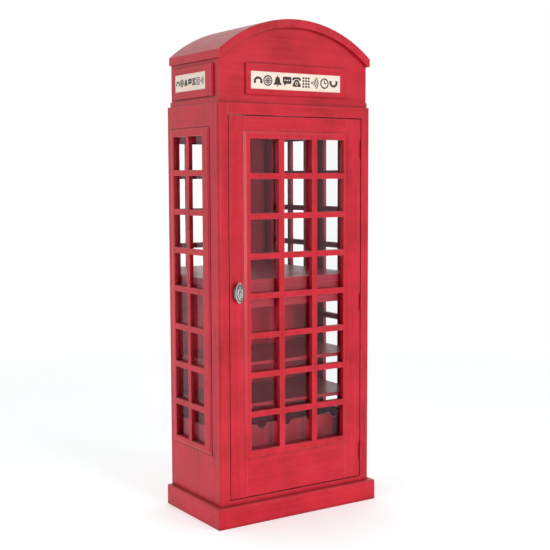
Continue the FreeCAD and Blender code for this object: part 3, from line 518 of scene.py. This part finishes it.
# %% Plastic
PLASTIC, PLASTIC_SCUFFED = screen_colour(24, 23, 23), screen_colour(58, 55, 53)
MOULD_GRAIN = 1500.0
SCUFFS = (90.0, 4.0, 0.5, 0.5, 0.8)


def black_plastic():
    material, mix = new_finish("black_plastic")
    place = mix.place()
    scuffs = mix.pattern(place, *SCUFFS)
    mix.coat({
        "Base Color": mix.blend(scuffs * 0.5, PLASTIC, PLASTIC_SCUFFED),
        "Roughness": 0.48 + 0.12 * scuffs,
        "Normal": mix.bumps(mix.noise(place, MOULD_GRAIN), 0.08 * MM, 0.3)})
    return material


plastic = black_plastic()
print("catch:", plastic.name)

# %% [markdown]
# ## Each piece gets its finish
# The record says which slot a piece belongs to, and the piece's name says how its board was cut:
# rails, shelves and boards run across, stiles run up, and the side boards of the plinth and header
# run front to back. So the finish is chosen from the two together, with no list of every piece.

# %% Choose and lay on the finishes
ACROSS_WORDS = ("rail", "shelf", "board", "apron", "strips", "plinth_front", "plinth_back",
                "header_front", "header_back", "door_bottom_panel", "sign_frame")
DEEP_WORDS = ("plinth_left", "plinth_right", "header_left", "header_right", "left_top_rail",
              "right_top_rail", "side_sign_frames", "cheeks")
SLOT_FINISH = {
    "glass": window_glass, "mirror": mirror_face, "sign plate": enamel, "painted steel": hinge_coat,
    "steel": screw_steel, "aged silver": aged_silver, "dark plastic": plastic,
}


def grain_of(node):
    if any(word in node for word in DEEP_WORDS):
        return "deep"
    if any(word in node for word in ACROSS_WORDS):
        return "across"
    return "up"


def finish_for(node, slot):
    if slot == "painted wood":
        return paint["roof"] if node == "roof" else paint[grain_of(node)]
    if node == "side_glass":
        return side_window_glass
    if slot == "inside paint":
        return shaded_inside_paint[grain_of(node)]
    return SLOT_FINISH[slot]


slot_of = {part["node"]: part["material_slot"] for part in frame["record"]["subparts"]}
for node, piece in frame["nodes"].items():
    for number in range(len(piece.material_slots)):
        piece.material_slots[number].material = finish_for(node, slot_of[node])
print("finished pieces:", len(frame["nodes"]))

# %% [markdown]
# ## Pieces made in mesh code
# The rest is modelling. Each new piece is drawn with bmesh in its true place, gets its finish, and
# rides on the body that carries it. One short function does this for all of them.

# %% Finish a new piece
def add_piece(name, mesh, finish, body, smooth=True):
    bmesh.ops.recalc_face_normals(mesh, faces=mesh.faces)
    data = bpy.data.meshes.new(name)
    mesh.to_mesh(data)
    mesh.free()
    for face in data.polygons:
        face.use_smooth = smooth
    piece = bpy.data.objects.new(name, data)
    bpy.context.scene.collection.objects.link(piece)
    piece.data.materials.append(finish)
    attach(piece, body)
    print("%s: %d faces" % (name, len(data.polygons)))
    return piece


# %% [markdown]
# ## The printed signs
# Each plate carries a dark printed row. Lettering would be somebody's sign, so the row here is plain
# pictures of using a telephone: a handset, a dial, a bell and so on. A font or an image could
# do it, but flat outlines cut and raised in code stay sharp and need no other file. Each shape is an
# outline with holes, in a square one unit high, filled by Blender's polygon tool.

# %% Outlines to draw with
CORNER_STEPS = 4


def circle(x, z, radius, steps=28):
    turn = 2 * math.pi / steps
    return [(x + radius * math.cos(turn * n), z + radius * math.sin(turn * n)) for n in range(steps)]


def arc(x, z, radius, start, end, steps=14):
    angles = [math.radians(start + (end - start) * n / steps) for n in range(steps + 1)]
    return [(x + radius * math.cos(angle), z + radius * math.sin(angle)) for angle in angles]


def band(x, z, inner, outer, start, end):
    """A bent strip between two arcs."""
    return arc(x, z, outer, start, end) + arc(x, z, inner, end, start)


def bar(x, z, width, height, corner):
    """An upright box from its lower left corner, with round corners."""
    right, top = x + width - corner, z + height - corner
    left, bottom = x + corner, z + corner
    turns = ((right, bottom, -90), (right, top, 0), (left, top, 90), (left, bottom, 180))
    return [point for turn_x, turn_z, start in turns
            for point in arc(turn_x, turn_z, corner, start, start + 90, CORNER_STEPS)]


def mirrored(points):
    """The points, then the same ones on the other side, in one closed line."""
    return points + [(-x, z) for x, z in reversed(points)]


print("a circle has %d points" % len(circle(0, 0, 1)))

# %% The pictures
def handset(turned=1):
    top = arc(0.0, -0.16, 0.47, 160, 20)
    under = arc(0.0, -0.16, 0.27, 30, 150)
    right_cup = [(0.47, -0.20), (0.40, -0.30), (0.21, -0.24)]
    left_cup = [(-x, z) for x, z in reversed(right_cup)]
    return [[[(x, turned * z) for x, z in top + right_cup + under + left_cup]]]


def dial(finger_holes=10, hole_ring=0.31):
    turns = [2 * math.pi * (n + 0.5) / finger_holes for n in range(finger_holes)]
    holes = [circle(hole_ring * math.cos(a), hole_ring * math.sin(a), 0.075, 14) for a in turns]
    return [[circle(0, 0, 0.47)] + holes + [circle(0, 0, 0.17)], [circle(0, 0, 0.12)]]


def bell():
    side = [(0.05, 0.40), (0.19, 0.31), (0.26, 0.12), (0.30, -0.12), (0.43, -0.26), (0.43, -0.33)]
    return [[mirrored(side)], [circle(0, -0.42, 0.07, 16)], [circle(0, 0.45, 0.045, 12)]]


def speech():
    edge = bar(-0.46, -0.20, 0.92, 0.62, 0.14)
    body = edge + [(-0.32, -0.46), (-0.10, -0.20)]
    dots = [circle(x, 0.11, 0.07, 16) for x in (-0.23, 0.0, 0.23)]
    return [[body] + dots]


def desk_phone():
    top = mirrored([(0.30, 0.42), (0.47, 0.29), (0.47, 0.14), (0.27, 0.14), (0.22, 0.25)])
    body = mirrored([(0.15, 0.20), (0.24, 0.06), (0.44, -0.26), (0.44, -0.42)])
    return [[top], [body, circle(0, -0.14, 0.16)], [circle(0, -0.14, 0.09, 20)]]


def keypad():
    return [[bar(x - 0.1, z - 0.085, 0.2, 0.17, 0.03)]
            for x in (-0.29, 0.0, 0.29) for z in (-0.375, -0.125, 0.125, 0.375)]


def ringing():
    return [[circle(-0.36, 0, 0.10, 20)]] + [
        [band(-0.36, 0, radius - 0.05, radius + 0.05, -48, 48)] for radius in (0.26, 0.46, 0.66)]


def clock():
    thin = 0.045
    hands = [(-thin, -thin), (0.24, -thin), (0.24, thin), (thin, thin), (thin, 0.27), (-thin, 0.27)]
    return [[circle(0, 0, 0.47), circle(0, 0, 0.35)], [hands]]


PICTURES = (handset(), dial(), bell(), speech(), desk_phone(), keypad(), ringing(), clock(),
            handset(turned=-1))
print("pictures in the row:", len(PICTURES))

# %% Raise the pictures on the plates
PRINT_THICK = 0.2 * MM
PICTURE_HEIGHT, PICTURE_WIDTH = 0.72, 0.98
ROW_WIDTH, SIDE_ROW_WIDTH = 0.95, 0.94
SIDE_PICTURES = 7


def raise_shape(mesh, loops, put):
    """A flat shape with straight sides: the first loop is its outline and the others its holes."""
    corners = [corner for loop in loops for corner in loop]
    face_up = [mesh.verts.new(put(x, z, PRINT_THICK)) for x, z in corners]
    face_down = [mesh.verts.new(put(x, z, 0.0)) for x, z in corners]
    for a, b, c in tessellate_polygon([[Vector((x, z, 0.0)) for x, z in loop] for loop in loops]):
        mesh.faces.new((face_up[a], face_up[b], face_up[c]))
        mesh.faces.new((face_down[c], face_down[b], face_down[a]))
    start = 0
    for loop in loops:
        count = len(loop)
        for n in range(count):
            a, b = start + n, start + (n + 1) % count
            mesh.faces.new((face_up[a], face_up[b], face_down[b], face_down[a]))
        start += count


def print_row(mesh, centre, right, out, width, height, pictures):
    """A row of pictures round centre, along right, standing out from the plate."""
    step = width / len(pictures)
    size = min(height * PICTURE_HEIGHT, step * PICTURE_WIDTH)
    for n, picture in enumerate(pictures):
        middle = centre + right * step * (n + 0.5 - len(pictures) / 2)

        def put(x, z, lift):
            return middle + right * (x * size) + Vector((0, 0, z * size)) + out * lift

        for loops in picture:
            raise_shape(mesh, loops, put)


low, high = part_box("front_sign_plate")
row = bmesh.new()
print_row(row, Vector(((low.x + high.x) / 2, low.y, (low.z + high.z) / 2)), Vector((1, 0, 0)),
          Vector((0, -1, 0)), (high.x - low.x) * ROW_WIDTH, high.z - low.z, PICTURES)
add_piece("front_sign_print", row, ink, "cabinet", smooth=False)

# %% The side plates
# The two plates are one node, so each one's own box comes from its half of the mesh.
def plate_half(side):
    points = [v.co for v in frame["nodes"]["side_sign_plates"].data.vertices if v.co.x * side > 0]
    low = Vector([min(p[n] for p in points) for n in range(3)])
    high = Vector([max(p[n] for p in points) for n in range(3)])
    return low, high


side_rows = bmesh.new()
for side in (-1, 1):
    low, high = plate_half(side)
    outer = low.x if side < 0 else high.x
    middle = Vector((outer, (low.y + high.y) / 2, (low.z + high.z) / 2))
    print_row(side_rows, middle, Vector((0, side, 0)), Vector((side, 0, 0)),
              (high.y - low.y) * SIDE_ROW_WIDTH, high.z - low.z, PICTURES[:SIDE_PICTURES])
add_piece("side_sign_prints", side_rows, ink, "cabinet", smooth=False)

# %% [markdown]
# ## The knob
# The pull is a cast pointed oval with an engraved face: a raised rim, a ring of petals and a small
# boss. Sculpting it by hand would be hard to repeat, and a bump map would leave its outline plain. So
# rings of points are laid from the middle to the rim, and each point is lifted by a few smooth
# waves: the same way a chaser works outward from the centre.

# %% Cast the knob's head
RINGS, SPOKES = 44, 144
HEAD_DEPTH = 12 * MM
FACE_DEPTH = 0.62 * HEAD_DEPTH
PETALS, RIM_BEADS = 16, 40
TIP_NARROWING = 0.32
BACK_CURVE = ((0.985, 0.70), (0.90, 0.84), (0.72, 0.94), (0.45, 0.99))


def around(steps):
    """Even turns once round."""
    return [2 * math.pi * n / steps for n in range(steps)]


def swell(value, middle, half_width):
    """A rounded ridge, 1 at its middle and 0 from half_width away."""
    away = abs(value - middle) / half_width
    return math.cos(away * math.pi / 2) ** 2 if away < 1 else 0.0


def relief(share, angle):
    """How far the face stands out, at a share of the way to the rim."""
    dome = 0.66 * (1 - share ** 2.4)
    rim = 0.20 * swell(share, 0.90, 0.11)
    groove = -0.14 * swell(share, 0.76, 0.07)
    petal = 0.20 * swell(share, 0.52, 0.22) * abs(math.cos(PETALS / 2 * angle)) ** 0.6
    inner_groove = -0.12 * swell(share, 0.27, 0.06)
    boss = 0.22 * swell(share, 0.0, 0.24)
    beads = 0.05 * swell(share, 0.90, 0.07) * math.cos(RIM_BEADS * angle)
    return dome + rim + groove + petal + inner_groove + boss + beads


def oval_point(angle, half_width, half_height):
    """A point on an oval that narrows to a soft tip at the top and bottom."""
    narrowing = 1 - TIP_NARROWING * math.sin(angle) ** 2
    return half_width * math.cos(angle) * narrowing, half_height * math.sin(angle)


def close_rings(mesh, rings):
    """Joins rings of points that run from one middle point to another into a closed skin."""
    for inner, outer in zip(rings, rings[1:]):
        count = max(len(inner), len(outer))
        for n in range(count):
            m = (n + 1) % count
            corners = [ring[k % len(ring)] for ring, k in ((inner, n), (inner, m), (outer, m), (outer, n))]
            mesh.faces.new(list(dict.fromkeys(corners)))


print("petals %d, beads on the rim %d" % (PETALS, RIM_BEADS))

# %% Lay the rings of the knob's head
low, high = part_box("knob")
middle = (low + high) / 2
half_width, half_height = (high.x - low.x) / 2, (high.z - low.z) / 2
peak = max(relief(n / RINGS, 0.0) for n in range(RINGS + 1))


def head_point(share, angle, depth):
    """A point at a share of the way to the rim, some depth behind the knob's foremost point."""
    x, z = oval_point(angle, half_width * share, half_height * share)
    return Vector((middle.x + x, low.y + depth, middle.z + z))


def face_point(share, angle):
    return head_point(share, angle, (1 - relief(share, angle) / peak) * FACE_DEPTH)


head = bmesh.new()
rings = [[head.verts.new(face_point(0, 0))]]
for n in range(1, RINGS + 1):
    rings.append([head.verts.new(face_point(n / RINGS, angle)) for angle in around(SPOKES)])
for share, depth in BACK_CURVE:
    rings.append([head.verts.new(head_point(share, angle, HEAD_DEPTH * depth))
                  for angle in around(SPOKES)])
rings.append([head.verts.new(head_point(0, 0, HEAD_DEPTH))])
close_rings(head, rings)
print("knob face stands out %.1f mm" % (FACE_DEPTH / MM))

# %% The knob's stem
# Each ring is its radius, as a share of half the knob's width, and how far back it is.
STEM = ((0.0, 0.30), (0.36, 0.30), (0.40, 0.38), (0.34, 0.50), (0.26, 0.66), (0.30, 0.80),
        (0.44, 0.90), (0.44, 1.0), (0.0, 1.0))
STEM_SPOKES = 48


def turned_ring(mesh, radius, y):
    """A ring about the knob's front-to-back axis, or a single point where the radius is 0."""
    turns = around(STEM_SPOKES) if radius else [0.0]
    return [mesh.verts.new((middle.x + radius * math.cos(turn), y, middle.z + radius * math.sin(turn)))
            for turn in turns]


close_rings(head, [turned_ring(head, half_width * radius, low.y + (high.y - low.y) * back)
                   for radius, back in STEM])
knob_head = add_piece("knob_engraved", head, aged_silver, "door")
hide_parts("knob")

# %% [markdown]
# ## The plate behind the knob
# A thin oval plate spreads the pull on the wood. It is stepped, with a ring of small beads near its
# edge. Rings of points give the steps, and each bead is a low swelling in one of them, so the plate
# stays a single casting.

# %% Cast the rose
ROSE_BEADS = 30
ROSE_SPOKES = 8 * ROSE_BEADS
# Each step is its share of the way to the edge, and how far it stands off the door.
ROSE_STEPS = ((1.0, 0.0), (1.0, 0.35), (0.965, 0.55), (0.93, 0.58), (0.90, 0.60), (0.86, 0.60),
              (0.82, 0.60), (0.78, 0.60), (0.74, 0.52), (0.70, 0.52), (0.66, 0.80), (0.58, 0.96),
              (0.40, 1.0))
low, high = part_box("knob_rose")
rose_middle = (low + high) / 2
rose_half = Vector(((high.x - low.x) / 2, high.y - low.y, (high.z - low.z) / 2))


def rose_point(share, lift, angle):
    bead = 0.38 * swell(share, 0.84, 0.08) * max(0.0, math.cos(ROSE_BEADS * angle))
    x, z = rose_half.x * share * math.cos(angle), rose_half.z * share * math.sin(angle)
    y = high.y - rose_half.y * min(1.0, lift + bead)
    return Vector((rose_middle.x + x, y, rose_middle.z + z))


rose = bmesh.new()
rings = [[rose.verts.new(rose_point(0.0, 0.0, 0.0))]]
rings += [[rose.verts.new(rose_point(share, lift, angle)) for angle in around(ROSE_SPOKES)]
          for share, lift in ROSE_STEPS]
rings.append([rose.verts.new(rose_point(0.0, 1.0, 0.0))])
close_rings(rose, rings)
knob_plate = add_piece("knob_plate", rose, aged_silver, "door")
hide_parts("knob_rose")

# %% [markdown]
# ## The studio
# A plain pale floor and a white surround, with four soft boxes: a tall one before the front, one high
# at the right, a broad one overhead, and a weak tall one at the left that catches the raised frames.
# Soft boxes are area lamps, so shadows have wide soft edges. The surround lights the cabinet less from
# the front, as a studio is darker behind its camera, which keeps the red deep instead of milky, and
# has one bright card at the front right for the panes and the knob to mirror.

# %% Floor
FLOOR_REACH = 4.0
FADE_START, FADE_END = 1.3, 3.2
PAPER, PAPER_MOTTLE = (0.86, 0.93, 0.93, 1.0), (0.84, 0.91, 0.92, 1.0)
PAPER_GLOW = 0.34


def floor_card():
    material, mix = new_finish("pale_floor")
    place = mix.place()
    colour = mix.blend(mix.noise(place, 1.5) * 0.2, PAPER, PAPER_MOTTLE)
    paper = mix.add("ShaderNodeBsdfPrincipled", None, {
        "Base Color": colour, "Roughness": 0.75, "Specular IOR Level": 0.2,
        "Emission Color": WHITE, "Emission Strength": PAPER_GLOW})
    away = mix.add("ShaderNodeVectorMath", {"operation": "LENGTH"}, {0: place}, out="Value")
    faded = mix.spread(away, FADE_START, FADE_END)
    clear = mix.add("ShaderNodeBsdfTransparent")
    mix.surface(mix.add("ShaderNodeMixShader", None, {0: faded, 1: paper, 2: clear}))
    return material


sheet = bmesh.new()
sheet.faces.new([sheet.verts.new((x * FLOOR_REACH, y * FLOOR_REACH, cad_box[0].z))
                 for x, y in ((-1, -1), (1, -1), (1, 1), (-1, 1))])
floor_data = bpy.data.meshes.new("studio_floor")
sheet.to_mesh(floor_data)
sheet.free()
floor = bpy.data.objects.new("studio_floor", floor_data)
floor.data.materials.append(floor_card())
bpy.context.scene.collection.objects.link(floor)
print("floor at z =", round(cad_box[0].z, 4))

# %% Surround
FRONT_RIGHT = Vector((0.545, -0.833, 0.05)).normalized()
CARD_START, CARD_FULL = 0.86, 0.95
LEAST_LIGHT, BACK_LIGHT, CARD_LIGHT = 0.16, 0.95, 1.05
world = bpy.data.worlds.new("studio")
world.use_nodes = True
bpy.context.scene.world = world
air = Mix(world.node_tree)
towards = air.add("ShaderNodeTexCoord", out="Generated")
backward = air.add("ShaderNodeSeparateXYZ", None, {0: towards}, out="Y")
behind = air.spread(backward, -0.6, 0.8)
beside_card = air.vector("DOT_PRODUCT", towards, FRONT_RIGHT, out="Value")
card = air.spread(beside_card, CARD_START, CARD_FULL)
level = LEAST_LIGHT + BACK_LIGHT * behind + CARD_LIGHT * card
seen = air.add("ShaderNodeLightPath", out="Is Camera Ray")
strength = seen + (1 - seen) * level
air.add("ShaderNodeOutputWorld", None, {
    "Surface": air.add("ShaderNodeBackground", None, {"Color": WHITE, "Strength": strength})})
print("surround is white to the eye")

# %% Soft lights
# Each box is its name, its place, its width and height in metres, and its watts.
SOFT_BOXES = (
    ("left_strip", (-2.1, -0.65, 0.75), 0.6, 1.3, 9),
    ("front_box", (0.0, -3.7, 0.95), 0.5, 1.7, 57),
    ("right_box", (2.0, -3.4, 3.0), 0.9, 0.9, 18),
    ("top_box", (0.3, -0.6, 3.8), 2.5, 2.0, 11),
)
MIDDLE = (cad_box[0] + cad_box[1]) / 2


def soft_box(name, place, width, height, watts):
    """An area lamp that faces the middle of the cabinet."""
    lamp = bpy.data.lights.new(name, "AREA")
    lamp.shape = "RECTANGLE"
    lamp.size, lamp.size_y = width, height
    lamp.energy = watts
    box = bpy.data.objects.new(name, lamp)
    box.location = place
    box.rotation_euler = (MIDDLE - Vector(place)).to_track_quat("-Z", "Y").to_euler()
    box.visible_camera = False
    bpy.context.scene.collection.objects.link(box)


for soft_light in SOFT_BOXES:
    soft_box(*soft_light)
print("lights aim at", [round(v, 2) for v in MIDDLE])

# %% [markdown]
# ## The camera
# The cabinet is seen from its left front and from a little above its middle. The lens is a short
# telephoto, so the sides converge only slightly. The aim is given as a turn, a tilt and a small roll,
# and the matrix is built from the three directions they make.

# %% Set up the camera
CAMERA_PLACE = Vector((-1.6972, -2.6116, 0.9647))
TURN, TILT, ROLL = 0.5795, -0.0915, -0.0032
LENS, SENSOR = 69.69, 36.0

ahead = Vector((math.sin(TURN) * math.cos(TILT), math.cos(TURN) * math.cos(TILT),
                math.sin(TILT)))
level_right = Vector((math.cos(TURN), -math.sin(TURN), 0.0))
level_up = level_right.cross(ahead)
right = level_right * math.cos(ROLL) + level_up * math.sin(ROLL)
up = level_up * math.cos(ROLL) - level_right * math.sin(ROLL)
lens = bpy.data.cameras.new("camera")
lens.lens, lens.sensor_width = LENS, SENSOR
camera = bpy.data.objects.new("camera", lens)
turn = Matrix((right, up, -ahead)).transposed().to_4x4()
camera.matrix_world = Matrix.Translation(CAMERA_PLACE) @ turn
bpy.context.scene.collection.objects.link(camera)
bpy.context.scene.camera = camera
bpy.context.scene.view_settings.view_transform = "Standard"
print("camera stands %.2f m away" % (CAMERA_PLACE - MIDDLE).length)

# %% [markdown] ## Bring the scene up to date
# Nothing here may make the cabinet bigger than its solid model.

# %% Update the scene
bpy.context.view_layer.update()
